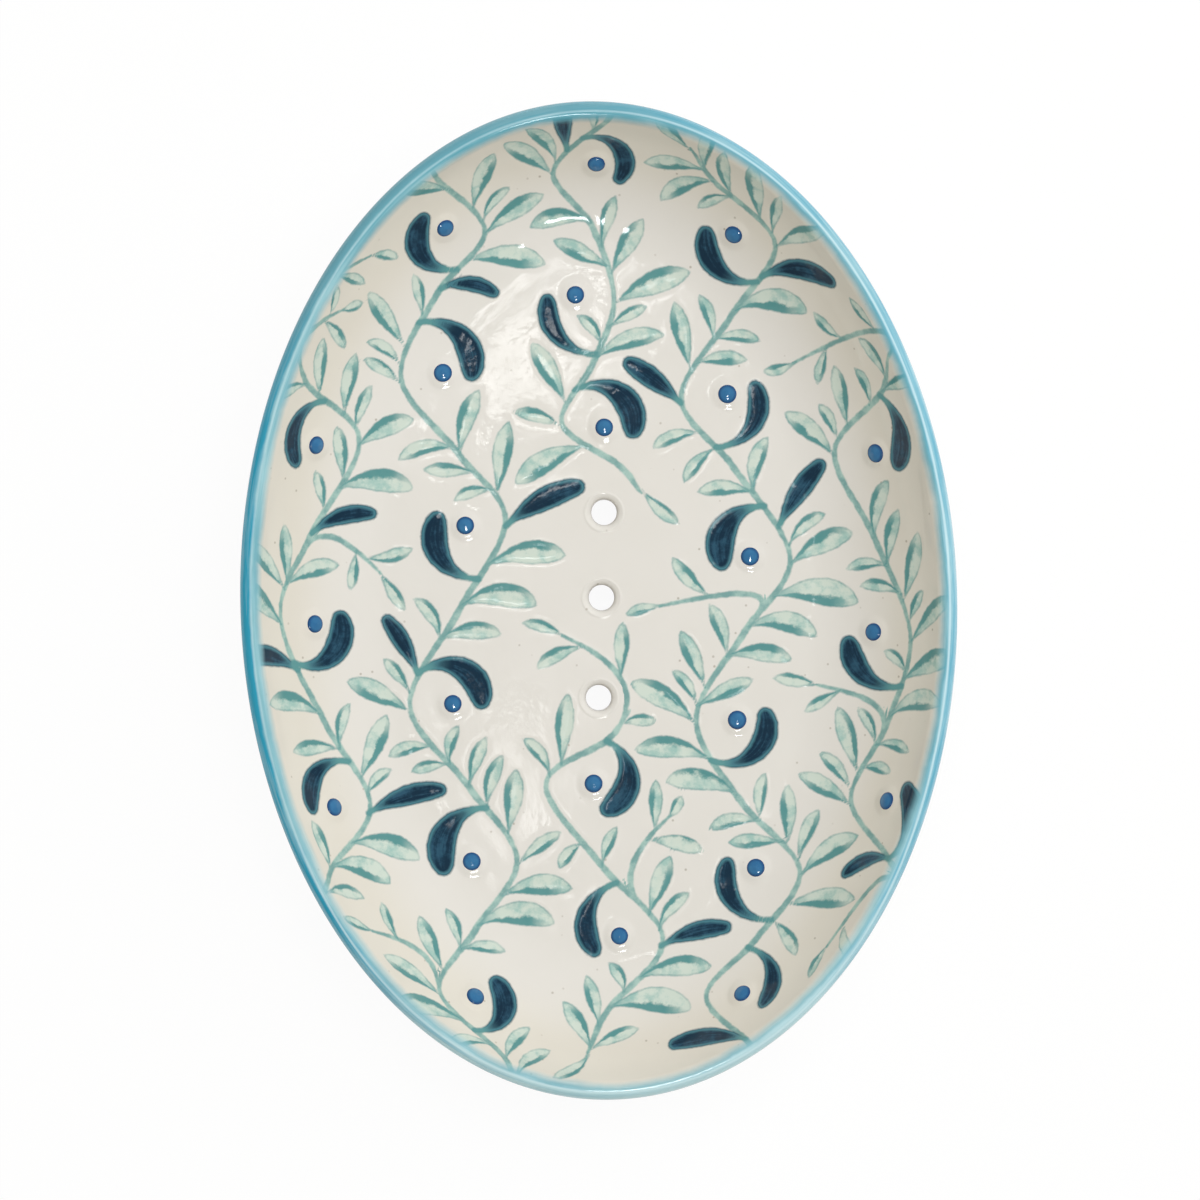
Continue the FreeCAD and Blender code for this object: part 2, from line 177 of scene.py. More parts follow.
def resampled(line, count):
    """The rows of a line's values, spread evenly over a new count of steps."""
    fine = np.linspace(0, len(line) - 1, count)
    return np.stack([np.interp(fine, np.arange(len(line)), column) for column in line.T], axis=1)


def heading_at(line, place):
    """The way a line heads at one of its points."""
    step = line[min(place + 1, len(line) - 1)] - line[max(place - 1, 0)]
    return math.atan2(step[1], step[0])


# Each vine weaves up a row of beads and passes them on alternate sides. It is painted in lengths that
# each start beside the one before. A row gives its first bead and the one after its last, the side on
# which the vine passes the first, and how far the vine runs on below and above them.
vine_rows = ((0, 3, 1, 16, 15), (3, 9, -1, 15, 14), (9, 12, -1, 9, 14), (12, 14, 1, 18, 10),
             (14, 20, -1, 15, 14), (20, 23, -1, 16, 15))
span_steps, overlap = 14, 9
pass_near, pass_far, stagger, vine_half = 5.6, 6.8, 0.55, 0.5
vines, bends = [], []
for first, last, way, tail, head in vine_rows:
    spots = beads_flat[first:last]
    spots = spots[np.argsort(spots[:, 1])]
    points = [spots[0] + (-5.0 * way, -tail), spots[0] + (-2.0 * way, -0.6 * tail)]
    for place, spot in enumerate(spots):
        if place:
            points.append((spots[place - 1] + spot) / 2 + brush.uniform(-1.0, 1.0, 2))
        points.append(spot + (way * brush.uniform(pass_near, pass_far), brush.uniform(-1, 1)))
        bends.append((len(vines), (len(points) - 1) * span_steps, way, spot))
        way = -way
    points += [spots[-1] + (2.0 * way, 0.6 * head), spots[-1] + (5.0 * way, head)]
    vine = smooth_line(points, span_steps)
    vines.append(vine)
    for number, start in enumerate(range(0, len(vine) - span_steps, 2 * span_steps)):
        spine = resampled(vine[start:start + 2 * span_steps + overlap], 2 * stroke_steps)
        ahead = np.gradient(spine, axis=0)
        aside = np.stack([-ahead[:, 1], ahead[:, 0]], axis=1) / np.linalg.norm(ahead, axis=1, keepdims=True)
        share = np.linspace(0, 1, len(spine))
        lean = stagger * (share - 0.5) * (1 if number % 2 else -1)
        spine = spine + aside * lean[:, None]
        lay("stem", spine, vine_half * (0.35 + 0.65 * np.sin(np.pi * share**0.75) ** 0.7))

# Each bead lies in the crook of a navy stroke that leaves the vine and hooks round it. Of many tries the
# one is laid that has room and comes nearest the usual length.
hook_radius, hook_length, hook_foot, hook_overlap = 4.1, 12, 8, 0.2
for vine_number, place, _, spot in bends:
    vine = vines[vine_number]
    choices = []
    for step in [*range(-14, -4), *range(5, 15)]:
        leave = vine[np.clip(place + step, 0, len(vine) - 1)] - spot
        side = vine[place] - spot
        sense = np.sign(side[0] * leave[1] - side[1] * leave[0])
        start, reach = math.atan2(leave[1], leave[0]), np.linalg.norm(leave)
        for span in (2.6, 2.3, 2.0, 1.7):
            radius = hook_radius + (reach - hook_radius) * (1 - along_stroke) ** 1.5
            angle = start + sense * span * along_stroke**0.9
            spine = spot + np.stack([radius * np.cos(angle), radius * np.sin(angle)], axis=1)
            half = brush.uniform(1.45, 2.1) * stroke_widths["navy"]
            length = np.hypot(*np.diff(spine, axis=0).T).sum()
            gap = room(spine, half, hook_foot)
            score = min(gap, 0.5) - 0.04 * abs(length - hook_length) + 0.2 * brush.uniform()
            choices.append((score, gap, spine, half))
    _, gap, spine, half = max(choices, key=lambda choice: choice[0])
    if gap > -hook_overlap:
        lay("navy", spine, half)

# Leaves spring from the outside of each bend, along the vine at first and then curling away from it,
# with a navy stroke among them now and then. The spray gives each one's place along the vine, its angle
# off it, its length and its bend.
spray = ((-13, 0.35, 11.0, 1.0), (-7, 0.5, 11.5, 0.75), (-1, 0.7, 11.0, 0.45), (5, 0.9, 9.5, 0.1),
         (-10, 1.4, 7.5, 0.6))
leaf_gap, leaf_foot = 0.75, 6
for number, (vine_number, place, way, _) in enumerate(bends):
    vine = vines[vine_number]
    for step, (back, lift, length, bend) in enumerate(spray):
        at = int(np.clip(place + back, 1, len(vine) - 2))
        kind = "navy" if (number + step) % 6 == 2 else "leaf"
        for attempt in range(16):
            size = length * (1 - 0.04 * attempt) * brush.uniform(0.9, 1.1)
            turn = heading_at(vine, at) - way * (lift + brush.uniform(-0.2, 0.2))
            spine = bent(vine[at], turn, size, -way * (bend + brush.uniform(-0.25, 0.25)))
            width = max(brush.uniform(0.135, 0.17) * size, 1.0)
            if try_stroke(kind, spine, width, leaf_gap, leaf_foot):
                break


def leaf_at(stem, at, lift):
    """Tries a leaf at a place on a stem, a little smaller each time, until one fits."""
    for attempt in range(10):
        size = brush.uniform(5.5, 8.5) * (1 - 0.05 * attempt)
        side = np.sign(lift) if lift else brush.choice((-1, 1))
        leaf = bent(stem[at], heading_at(stem, at) + lift + brush.uniform(-0.2, 0.2), size,
                    side * brush.uniform(0.0, 0.7))
        if try_stroke("leaf", leaf, max(0.15 * size, 0.9), leaf_gap, leaf_foot + 2):
            return True
    return False


# A leaf ends each vine, and single leaves line it where there is room.
for vine in vines:
    leaf_at(vine, len(vine) - 1, 0.0)
    leaf_at(vine[::-1], len(vine) - 1, 0.0)
for vine in vines:
    for at in range(2, len(vine) - 1, 4):
        for way in (1, -1):
            for attempt in range(8):
                size = brush.uniform(6.0, 9.5) * (1 - 0.05 * attempt)
                spine = bent(vine[at], heading_at(vine, at) + way * brush.uniform(0.3, 0.8), size,
                             way * brush.uniform(0.1, 1.0))
                if try_stroke("leaf", spine, max(0.15 * size, 0.95), leaf_gap + 0.05, leaf_foot):
                    break

# Where the ground is still bare a sprig branches off the nearest vine, with leaves up its sides.
bare_step, bare_gap, tried_reach, sprig_half, sprig_gap = 2.0, 3.6, 2.5, 0.45, 0.25
bare = np.meshgrid(np.arange(-49, 50, bare_step), np.arange(-69, 70, bare_step))
bare = np.stack(bare, axis=-1).reshape(-1, 2)
bare = bare[np.hypot(*(bare / painted_oval).T) < 0.99]
while len(bare):
    painted = np.vstack([taken["stem"][::4], taken["fill"][::4], kept_clear])
    clear = (apart(bare, painted) - painted[None, :, 2]).min(axis=1)
    if clear.max() < bare_gap:
        break
    middle = bare[clear.argmax()]
    roots = sorted(
        (math.dist(spot, middle), tuple(spot), heading_at(vine, at))
        for vine in vines for at, spot in enumerate(vine)
    )[:200:6]
    share = along_stroke[:, None]
    for reach, root, heading in roots:
        knee = np.array(root) + 0.55 * reach * np.array([math.cos(heading), math.sin(heading)])
        spine = (1 - share) ** 2 * np.array(root) + 2 * share * (1 - share) * knee + share**2 * middle
        half = sprig_half * stroke_widths["stem"]
        off_fill, off_vines = (clearance(taken[layer], spine[foot:], half[foot:])
                               for layer, foot in (("fill", 2), ("stem", 9)))
        if min(off_fill, off_vines) > sprig_gap and leaf_at(spine, stroke_steps - 1, 0.0):
            lay("stem", spine, half)
            for at, lift in ((20, 0.8), (18, -0.8), (13, 0.7), (11, -0.7)):
                leaf_at(spine, at, lift)
            break
    bare = bare[np.hypot(*(bare - middle).T) > tried_reach]

# The liner: one coat of cream glaze, about 0.4 mm thick, poured into the dish and fired on the clay. It
# lines floor and wall up to the turquoise band, and runs down the three drains with a fine ridge round
# each. It dips over leaves and stems, swells over navy strokes and rises where it wets a bead.
glaze_coat, band_inside = 0.0004, 0.0006
inner_lip_turn = math.asin(lip_reach / (wall_curve + lip_radius))
seam_turn = inner_lip_turn - band_inside / wall_curve
rings, floor_share = 140, 0.64
drain_bore, drain_round, drain_cut, drain_foot = 0.0018, 0.0009, 0.0036, 0.0054
drain_edge = drain_bore + drain_round
collar_foot, collar_rise, collar_half, collar_steps = 0.0031, 0.00006, 0.00016, 56

liner = bmesh.new()
bmesh.ops.create_grid(liner, x_segments=2 * rings, y_segments=2 * rings, size=rings)
column, row = np.rint(np.array([vert.co[:2] for vert in liner.verts])).T
ring = np.maximum(abs(column), abs(row))
eighth = math.pi / 4 / np.maximum(ring, 1)
turn = np.select(
    [column == ring, row == ring, column == -ring],
    [eighth * row, math.pi / 2 - eighth * column, math.pi - eighth * row],
    eighth * column - math.pi / 2,
)
edge, outward = outline(turn)
reach = np.clip(ring / rings / floor_share, 0, 1)[:, None]
lift = np.clip((ring / rings - floor_share) / (1 - floor_share), 0, 1) * seam_turn
floor_edge = edge - wall_run * outward
floor_part = floor_edge * reach
plan = floor_part + outward * (wall_curve * np.sin(lift))[:, None]
level = floor_level + wall_curve * (1 - np.cos(lift))
flat = (floor_part + outward * (wall_curve * lift)[:, None]) * 1000
facing = np.column_stack([-outward * np.sin(lift)[:, None], np.cos(lift)])

thinnest = {"stem": 0.0, "leaf": 0.22, "navy": 0.40}
brush_reach = 2.8
unpainted = (-3.0, 0.0, 0.0, 0.0)


def brushed(flat):
    """For each kind of stroke: the depth of places in from its edge, in millimetres, how far across
    and along the stroke they lie, and the stroke's own tone. A stem is as thin as the mesh, so it keeps
    the distance from its middle line and its half width instead, which stay true between the vertices."""
    paint = {}
    for kind, laid in strokes.items():
        field = np.tile(unpainted, (len(flat), 1))
        for spine, half, tone in laid:
            line = resampled(np.column_stack([spine, half]), 3 * len(spine))
            middle, width = line[:, :2], np.maximum(line[:, 2], thinnest[kind])
            ahead = np.gradient(middle, axis=0)
            ahead /= np.linalg.norm(ahead, axis=1, keepdims=True)
            for part in np.array_split(np.arange(len(line)), len(line) // stroke_steps):
                low, high = middle[part].min(0) - brush_reach, middle[part].max(0) + brush_reach
                near = np.flatnonzero(((flat > low) & (flat < high)).all(axis=1))
                off = flat[near][:, None] - middle[part][None]
                inside = width[part][None] - np.hypot(off[..., 0], off[..., 1])
                best, pick = inside.argmax(axis=1), np.arange(len(near))
                deeper = inside[pick, best] > field[near, 0]
                best, pick, near = best[deeper], pick[deeper], near[deeper]
                way = ahead[part][best]
                aside = off[pick, best, 0] * way[:, 1] - off[pick, best, 1] * way[:, 0]
                if kind == "stem":
                    across, along = np.clip(aside, -2.0, 2.0), width[part][best]
                else:
                    across, along = np.clip(aside / width[part][best], -1.5, 1.5), part[best] / len(line)
                field[near] = np.column_stack([inside[pick, best], across, along, np.full(len(near), tone)])
        paint[kind] = field
    return paint


def eased(value, low, high):
    """A share from 0 at the low value to 1 at the high one, with soft ends."""
    share = np.clip((value - low) / (high - low), 0, 1)
    return share * share * (3 - 2 * share)


# The relief of the coat, in millimetres: slow waves, a fuller stretch where the floor turns into the wall,
# the dips and swells of the painting and the rise at the beads. It dies out at the drains and the seam.
bend_swell, bend_half = 0.07, 2.3
leaf_dip, stem_dip, navy_swell, bead_swell = 0.075, 0.045, 0.05, 0.13
wet_near, wet_far, no_bead = 1.3, 2.5, 9.0
paint = brushed(flat)
swell = np.array([
    0.025 * noise.noise(Vector((x * 0.09, y * 0.09, 3.7)))
    + 0.008 * noise.noise(Vector((x * 0.26, y * 0.26, 9.1)))
    for x, y in flat
])
floor_gap = ((1 - reach[:, 0]) * (floor_edge * outward).sum(axis=1) + wall_curve * lift) * 1000
bead_gap = apart(flat, beads_flat).min(axis=1)
drain_gap = apart(flat, drains_flat).min(axis=1)
swell += bend_swell * np.exp(-((floor_gap / bend_half) ** 2))
swell -= leaf_dip * eased(paint["leaf"][:, 0], -0.2, 0.7) + stem_dip * eased(paint["stem"][:, 0], -0.2, 0.4)
swell += navy_swell * eased(paint["navy"][:, 0], -0.2, 0.8)
swell += bead_swell * eased(bead_gap, wet_far, wet_near)
swell *= eased(drain_gap, 3.0, 4.5) * (1 - eased(lift, seam_turn * 0.93, seam_turn))
by_rows = np.lexsort((column, row))
sheet = swell[by_rows].reshape(2 * rings + 1, 2 * rings + 1)
for _ in range(2):
    framed = np.pad(sheet, 1, mode="edge")
    sheet = (framed[:-2, 1:-1] + framed[2:, 1:-1] + framed[1:-1, :-2] + framed[1:-1, 2:] + 4 * sheet) / 8
swell[by_rows] = sheet.ravel()
surface = np.column_stack([plan, level]) + facing * swell[:, None] / 1000
layers = {kind: liner.verts.layers.float_color.new(kind) for kind in paint}
turn_layer = liner.verts.layers.float.new("oval_turn")
bead_layer = liner.verts.layers.float.new("bead_gap")
for number, vert in enumerate(liner.verts):
    vert.co = surface[number]
    vert[turn_layer] = turn[number]
    vert[bead_layer] = bead_gap[number]
    for kind, layer in layers.items():
        vert[layer] = paint[kind][number]


def run_on(mesh, edges, place):
    """Carries an open loop of edges on by one step, to where place puts each vertex."""
    grown = bmesh.ops.extrude_edge_only(mesh, edges=edges)["geom"]
    fresh = {part for part in grown if isinstance(part, bmesh.types.BMVert)}
    for vert in fresh:
        vert.co = place(vert)
    return [part for part in grown if isinstance(part, bmesh.types.BMEdge) and fresh.issuperset(part.verts)]


# Each drain is cut out of the sheet, flares in over a ridge, runs down its bore and back up on the clay.
flare = [(radius, floor_level) for radius in np.linspace(collar_foot, drain_edge, 6)[1:]]
flare += [
    (drain_bore + drain_round * (1 - math.sin(angle)), floor_level - drain_round * (1 - math.cos(angle)))
    for angle in np.linspace(0, math.pi / 2, 13)[1:]
]
flare = [
    (radius, height + collar_rise * math.exp(-((radius - drain_edge) / collar_half) ** 2))
    for radius, height in flare
]
bore = [(drain_bore, height) for height in (0.0082, 0.0068, drain_foot)]
back = [(drain_bore + glaze_coat, drain_foot), (drain_bore + glaze_coat, floor_level - drain_round),
        (drain_edge, floor_level - glaze_coat)]
open_loops = []
for across, along in drain_spots:
    middle = Vector((across, along))
    inner = [vert for vert in liner.verts if (vert.co.xy - middle).length < drain_cut]
    bmesh.ops.delete(liner, geom=inner, context="VERTS")
    loop = [
        side for side in liner.edges
        if side.is_boundary and (side.verts[0].co.xy - middle).length < 2 * drain_cut
    ]
    ring_verts = bmesh.ops.create_circle(
        liner, cap_ends=False, segments=collar_steps, radius=collar_foot,
        matrix=Matrix.Translation((across, along, floor_level)))["verts"]
    for vert in ring_verts:
        vert[bead_layer] = no_bead
        for layer in layers.values():
            vert[layer] = unpainted
    ring_edges = list(dict.fromkeys(side for vert in ring_verts for side in vert.link_edges))
    bmesh.ops.triangle_fill(
        liner, edges=loop + ring_edges, use_beauty=True, use_dissolve=False, normal=(0, 0, 1))
    loop = ring_edges
    for radius, height in flare + bore + back:
        def on_ring(vert):
            way = (vert.co.xy - middle).normalized()
            return (middle + way * radius).to_3d() + Vector((0, 0, height))
        loop = run_on(liner, loop, on_ring)
    open_loops += loop

loop = [side for side in liner.edges if side.is_boundary and side.verts[0].co.z > floor_level]
for clay_lift in np.linspace(seam_turn, 0, 7):
    def on_clay(vert):
        edge, outward = outline(vert[turn_layer])
        reach = wall_curve + glaze_coat
        spot = edge - wall_run * outward + reach * math.sin(clay_lift) * outward
        return Vector((*spot, floor_level + wall_curve - reach * math.cos(clay_lift)))
    loop = run_on(liner, loop, on_clay)
bmesh.ops.triangle_fill(liner, edges=loop + open_loops, use_beauty=True, use_dissolve=False)
bmesh.ops.recalc_face_normals(liner, faces=liner.faces)


def piece(name, mesh, material, node):
    """Turns a bmesh into a shown piece of the dish, which stands for a CAD node."""
    data = bpy.data.meshes.new(name)
    mesh.to_mesh(data)
    mesh.free()
    data.shade_smooth()
    data.set_sharp_from_angle(angle=math.radians(50))
    data.materials.append(material)
    shown = bpy.data.objects.new(name, data)
    bpy.context.scene.collection.objects.link(shown)
    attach(shown, "root")
    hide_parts(node)


def pigment(red, green, blue):
    """A colour given as picture values from 0 to 255, made linear."""
    parts = [value / 255 for value in (red, green, blue)]
    return (*[part / 12.92 if part <= 0.04045 else ((part + 0.055) / 1.055) ** 2.4 for part in parts], 1.0)


def feed(tree, socket, value):
    """Links a shader value to a socket, or sets a plain value on it."""
    if isinstance(value, bpy.types.NodeSocket):
        tree.links.new(value, socket)
    else:
        socket.default_value = value


def add(tree, kind, inputs=(), **settings):
    """A shader node with its settings, and its inputs linked or set. Gives its first output."""
    made = tree.nodes.new(kind)
    for key, value in settings.items():
        setattr(made, key, value)
    for key, value in dict(inputs).items():
        feed(tree, made.inputs[key], value)
    return made.outputs[0]


def grain(tree, place, scale, detail=3.0, rough=0.5):
    """Noise from 0 to 1."""
    return add(tree, "ShaderNodeTexNoise",
               {"Vector": place, "Scale": scale, "Detail": detail, "Roughness": rough})


def calc(tree, operation, first, second=0.0):
    """Arithmetic on two values."""
    return add(tree, "ShaderNodeMath", {0: first, 1: second}, operation=operation)


def sway(tree, pattern, size):
    """Noise from 0 to 1, made to swing both ways about 0."""
    return calc(tree, "MULTIPLY", calc(tree, "SUBTRACT", pattern, 0.5), size)


def spread(tree, value, low, high, start=0.0, finish=1.0):
    """A value that goes from start at the low value to finish at the high one, with soft ends."""
    return add(tree, "ShaderNodeMapRange", {0: value, 1: low, 2: high, 3: start, 4: finish},
               interpolation_type="SMOOTHSTEP")


def blend(tree, share, first, second):
    """A colour between two others."""
    return add(tree, "ShaderNodeMix", {0: share, 6: first, 7: second}, data_type="RGBA").node.outputs[2]


def dimples(tree, pattern, strength):
    """The normal of a surface with a fine pattern of dimples."""
    return add(tree, "ShaderNodeBump", {"Height": pattern, "Strength": strength, "Distance": 0.0002})


def carried(tree, attribute):
    """The outputs of an attribute that the mesh carries."""
    return add(tree, "ShaderNodeAttribute", attribute_name=attribute).node.outputs


def parts_of(tree, attribute):
    """The four values that a painted attribute holds: depth, across, along and tone."""
    source = carried(tree, attribute)
    split = add(tree, "ShaderNodeSeparateColor", {0: source["Color"]}).node
    return (*split.outputs, source["Alpha"])


def glaze(name):
    """A new glaze: its material, node tree and object coordinates."""
    made = bpy.data.materials.new(name)
    made.use_nodes = True
    return made, made.node_tree, made.node_tree.nodes.new("ShaderNodeTexCoord").outputs["Object"]


def finish(tree, looks):
    """Gives a glaze its colour, its gloss and its other looks."""
    for name, value in {"IOR": 1.5, **looks}.items():
        feed(tree, tree.nodes["Principled BSDF"].inputs[name], value)


def speckled(tree, place, colour, speck, density):
    """Fine iron specks, each a dot in one cell of a random mesh."""
    cells = add(tree, "ShaderNodeTexVoronoi", {"Vector": place, "Scale": density}).node.outputs
    chance = add(tree, "ShaderNodeSeparateColor", {0: cells["Color"]})
    dot = spread(tree, cells["Distance"], 0.16, 0.05)
    strength = spread(tree, chance, 0.80, 0.95, 0.0, 0.55)
    return blend(tree, calc(tree, "MULTIPLY", dot, strength), colour, speck)


cream_speck, cream_speck_density = pigment(150, 138, 120), 620.0
cream_wall_foot, cream_wall_middle = 0.0108, 0.0165


def painted_cream(tree, place):
    """The colour of the cream glaze with the scroll on it; warmer up the wall than on the floor, as painted
    shade.
    """
    clouds = grain(tree, place, 60.0)
    level = add(tree, "ShaderNodeSeparateXYZ", {0: place}).node.outputs["Z"]
    floor_cream = blend(tree, clouds, pigment(232, 229, 225), pigment(226, 223, 217))
    # Painted shade: the wall's cream is painted warmer than the floor's, like shaded walls.
    wall_cream_painted_shade = blend(tree, clouds, pigment(230, 226, 216), pigment(224, 218, 207))
    up_wall = spread(tree, level, cream_wall_foot, cream_wall_middle)
    ground = blend(tree, up_wall, floor_cream, wall_cream_painted_shade)
    ground = speckled(tree, place, ground, cream_speck, cream_speck_density)
    wobble = sway(tree, grain(tree, place, 900.0, 4.0, 0.6), 0.7)
    wash = grain(tree, place, 420.0, 5.0, 0.62)

    # A stem is one thin teal stroke, paler where the brush ran dry.
    depth, aside, half, _ = parts_of(tree, "stem")
    near = spread(tree, depth, -0.5, -0.25)
    depth = calc(tree, "SUBTRACT", half, calc(tree, "ABSOLUTE", aside))
    depth = calc(tree, "ADD", depth, calc(tree, "MULTIPLY", wobble, 0.6))
    stem_colour = blend(tree, spread(tree, wash, 0.35, 0.7), pigment(84, 150, 150), pigment(158, 198, 190))
    stem_share = calc(tree, "MULTIPLY", near, spread(tree, depth, -0.15, 0.2, 0.0, 0.85))
    ground = blend(tree, stem_share, ground, stem_colour)

    # A leaf is a pale wash inside a soft darker line, with a crescent pooled along one side.
    depth, across, along, tone = parts_of(tree, "leaf")
    depth = calc(tree, "ADD", depth, calc(tree, "MULTIPLY", wobble, 0.6))
    leaf_colour = blend(tree, spread(tree, wash, 0.42, 0.68), pigment(209, 222, 212), pigment(158, 197, 190))
    side = calc(tree, "MULTIPLY", across, spread(tree, tone, 0.49, 0.51, -1.0, 1.0))
    side = spread(tree, calc(tree, "ADD", side, sway(tree, wash, 1.2)), 0.08, 0.4, 0.0, 0.95)
    crescent = calc(tree, "MULTIPLY", side, spread(tree, along, 0.95, 0.65))
    leaf_colour = blend(tree, crescent, leaf_colour, pigment(64, 140, 142))
    leaf_colour = blend(tree, spread(tree, along, 0.36, 0.08, 0.0, 0.7), leaf_colour, pigment(110, 168, 166))
    line_strength = spread(tree, wash, 0.3, 0.6, 0.25, 0.85)
    line = calc(tree, "MULTIPLY", spread(tree, depth, 0.42, 0.04), line_strength)
    leaf_colour = blend(tree, line, leaf_colour, pigment(84, 146, 148))
    ground = blend(tree, spread(tree, depth, -0.12, 0.24, 0.0, 0.95), ground, leaf_colour)

    # A navy stroke was laid over a teal one a little wider, which shows as its border and at its foot.
    depth, across, along, tone = parts_of(tree, "navy")
    depth = calc(tree, "ADD", depth, calc(tree, "MULTIPLY", wobble, 0.5))
    streak = add(tree, "ShaderNodeCombineXYZ", {
        0: calc(tree, "MULTIPLY", across, 3.0), 1: along, 2: calc(tree, "MULTIPLY", tone, 40.0)})
    hairs = calc(tree, "ADD", calc(tree, "MULTIPLY", grain(tree, streak, 1.6, 2.0, 0.5), 0.35),
                 calc(tree, "MULTIPLY", grain(tree, place, 330.0, 6.0, 0.7), 0.65))
    navy_colour = blend(tree, spread(tree, hairs, 0.45, 0.64), pigment(8, 44, 66), pigment(42, 84, 108))
    navy_colour = blend(tree, spread(tree, along, 0.35, 0.05, 0.0, 0.8), navy_colour, pigment(84, 136, 148))
    border = blend(tree, spread(tree, depth, 0.24, 0.08), pigment(72, 126, 140), pigment(44, 96, 110))
    navy_colour = blend(tree, spread(tree, depth, 0.22, 0.72), border, navy_colour)
    navy_colour = blend(tree, spread(tree, along, 0.2, 0.06, 0.0, 0.85), navy_colour, pigment(100, 158, 158))
    return blend(tree, spread(tree, depth, -0.27, 0.14), ground, navy_colour)


# The glaze lies thin in the drains' bores, where the clay shows through.
cream, tree, place = glaze("cream_glaze_painted")
height = add(tree, "ShaderNodeSeparateXYZ", {0: place}).node.outputs["Z"]
down_drain = spread(tree, height, 0.0100, 0.0096, 0.0, 0.6)
ground = blend(tree, down_drain, painted_cream(tree, place), pigment(150, 136, 118))
gloss = spread(tree, grain(tree, place, 180.0, 4.0), 0.3, 0.75, 0.04, 0.10)
dimple = dimples(tree, grain(tree, place, 700.0, 2.0), 0.06)
wetting = spread(tree, carried(tree, "bead_gap")["Fac"], wet_far, wet_near)
wetting = add(tree, "ShaderNodeBump",
              {"Height": wetting, "Strength": 1.0, "Distance": 0.00012, "Normal": dimple})
finish(tree, {"Base Color": ground, "Roughness": gloss, "Normal": wetting})
piece("liner_glaze_coat", liner, cream, "liner_glaze")

# The band: turquoise glaze brushed over the lip, deep outside, thin on the crest under a painted highlight.
# It is one ring round the whole oval, which meets the liner inside and the outer glaze below it outside.
outer_base, band_outside = 0.005, 0.0045
outer_rise = lip_level - outer_base
outer_curve = (lip_reach**2 + outer_rise**2 - lip_radius**2) / (2 * (outer_rise - lip_radius))
outer_lip_turn = math.asin(lip_reach / (outer_curve - lip_radius))
outer_seam = outer_lip_turn - band_outside / outer_curve
scroll_run, off_scroll = 3.0, 999.0


def inner_wall(lift, coat=0.0):
    """Inset from the oval edge and height of the inner wall, at a lift of its section."""
    reach = wall_curve + coat
    return wall_run - reach * math.sin(lift), floor_level + wall_curve - reach * math.cos(lift)


def outer_wall(lift, coat=0.0):
    """The same for the outer wall, one arc that is tangent to the lip too."""
    reach = outer_curve - coat
    return wall_run - reach * math.sin(lift), outer_base + outer_curve - reach * math.cos(lift)


def lip(angle, coat=0.0):
    """The same for the round lip, at an angle from straight up."""
    reach = lip_radius - coat
    return lip_radius - reach * math.sin(angle), lip_level + reach * math.cos(angle)


def pressed_oval(section, steps, painted=False):
    """A closed section of insets and heights, carried once round the oval. The scroll runs on over it
    from its first corner, which lies on the seam, where it is painted."""
    ring = bmesh.new()
    bmesh.ops.create_grid(ring, x_segments=steps, y_segments=len(section), size=0.5)
    grid = np.array([vert.co[:2] for vert in ring.verts]) + 0.5
    step = np.rint(grid[:, 0] * steps).astype(int) % steps
    corner = np.rint(grid[:, 1] * len(section)).astype(int) % len(section)
    inset, height = np.array(section)[corner].T
    edge, outward = outline(step * 2 * math.pi / steps)
    place = np.column_stack([edge - inset[:, None] * outward, height])
    run = np.cumsum([0.0, *np.linalg.norm(np.diff(section, axis=0), axis=1) * 1000])[corner]
    down = ring.verts.layers.float.new("down_section")
    paint = {}
    if painted:
        seam = edge - wall_run * outward + wall_curve * seam_turn * outward
        flat = seam * 1000 + run[:, None] * outward
        flat[run > scroll_run] = off_scroll
        paint = brushed(flat)
    layers = {kind: ring.verts.layers.float_color.new(kind) for kind in paint}
    for number, vert in enumerate(ring.verts):
        vert.co = place[number]
        vert[down] = run[number]
        for kind, layer in layers.items():
            vert[layer] = paint[kind][number]
    bmesh.ops.remove_doubles(ring, verts=ring.verts, dist=1e-7)
    bmesh.ops.recalc_face_normals(ring, faces=ring.faces)
    return ring


lip_start, lip_end = -inner_lip_turn, math.pi - outer_lip_turn
band_section = [inner_wall(lift) for lift in np.linspace(seam_turn, inner_lip_turn, 5)[:-1]]
band_section += [lip(angle) for angle in np.linspace(lip_start, lip_end, 18)[:-1]]
band_section += [outer_wall(lift) for lift in np.linspace(outer_lip_turn, outer_seam, 6)]
band_section += [outer_wall(lift, glaze_coat) for lift in (outer_seam, outer_lip_turn)]
band_section += [lip(angle, glaze_coat) for angle in np.linspace(lip_end, lip_start, 9)[1:-1]]
band_section += [inner_wall(lift, glaze_coat) for lift in (inner_lip_turn, seam_turn)]

# The brush went round the lip, so its streaks do too. Outside the crest the band is painted paler to the
# right and at the lower end, as painted sheen, and greyer at the upper end, as painted shade. Inside the
# crest it is painted deeper towards the upper right and paler towards the lower left, as painted shade.
turquoise, tree, place = glaze("turquoise_glaze_band")
run_down = carried(tree, "down_section")["Fac"]
spot = add(tree, "ShaderNodeSeparateXYZ", {0: place}).node.outputs
brushed_round = add(tree, "ShaderNodeCombineXYZ", {
    0: calc(tree, "MULTIPLY", spot["X"], 60.0), 1: calc(tree, "MULTIPLY", spot["Y"], 60.0),
    2: calc(tree, "MULTIPLY", run_down, 1.4)})
streaks = grain(tree, brushed_round, 1.0, 4.0, 0.65)
drift = sway(tree, grain(tree, place, 130.0, 4.0, 0.6), 1.3)
down = calc(tree, "ADD", run_down, drift)
mottle = sway(tree, grain(tree, place, 70.0, 4.0), 0.9)
mottle = calc(tree, "ADD", mottle, spread(tree, streaks, 0.35, 0.68, -0.14, 0.3))
to_right = spread(tree, spot["X"], -0.01, 0.03)
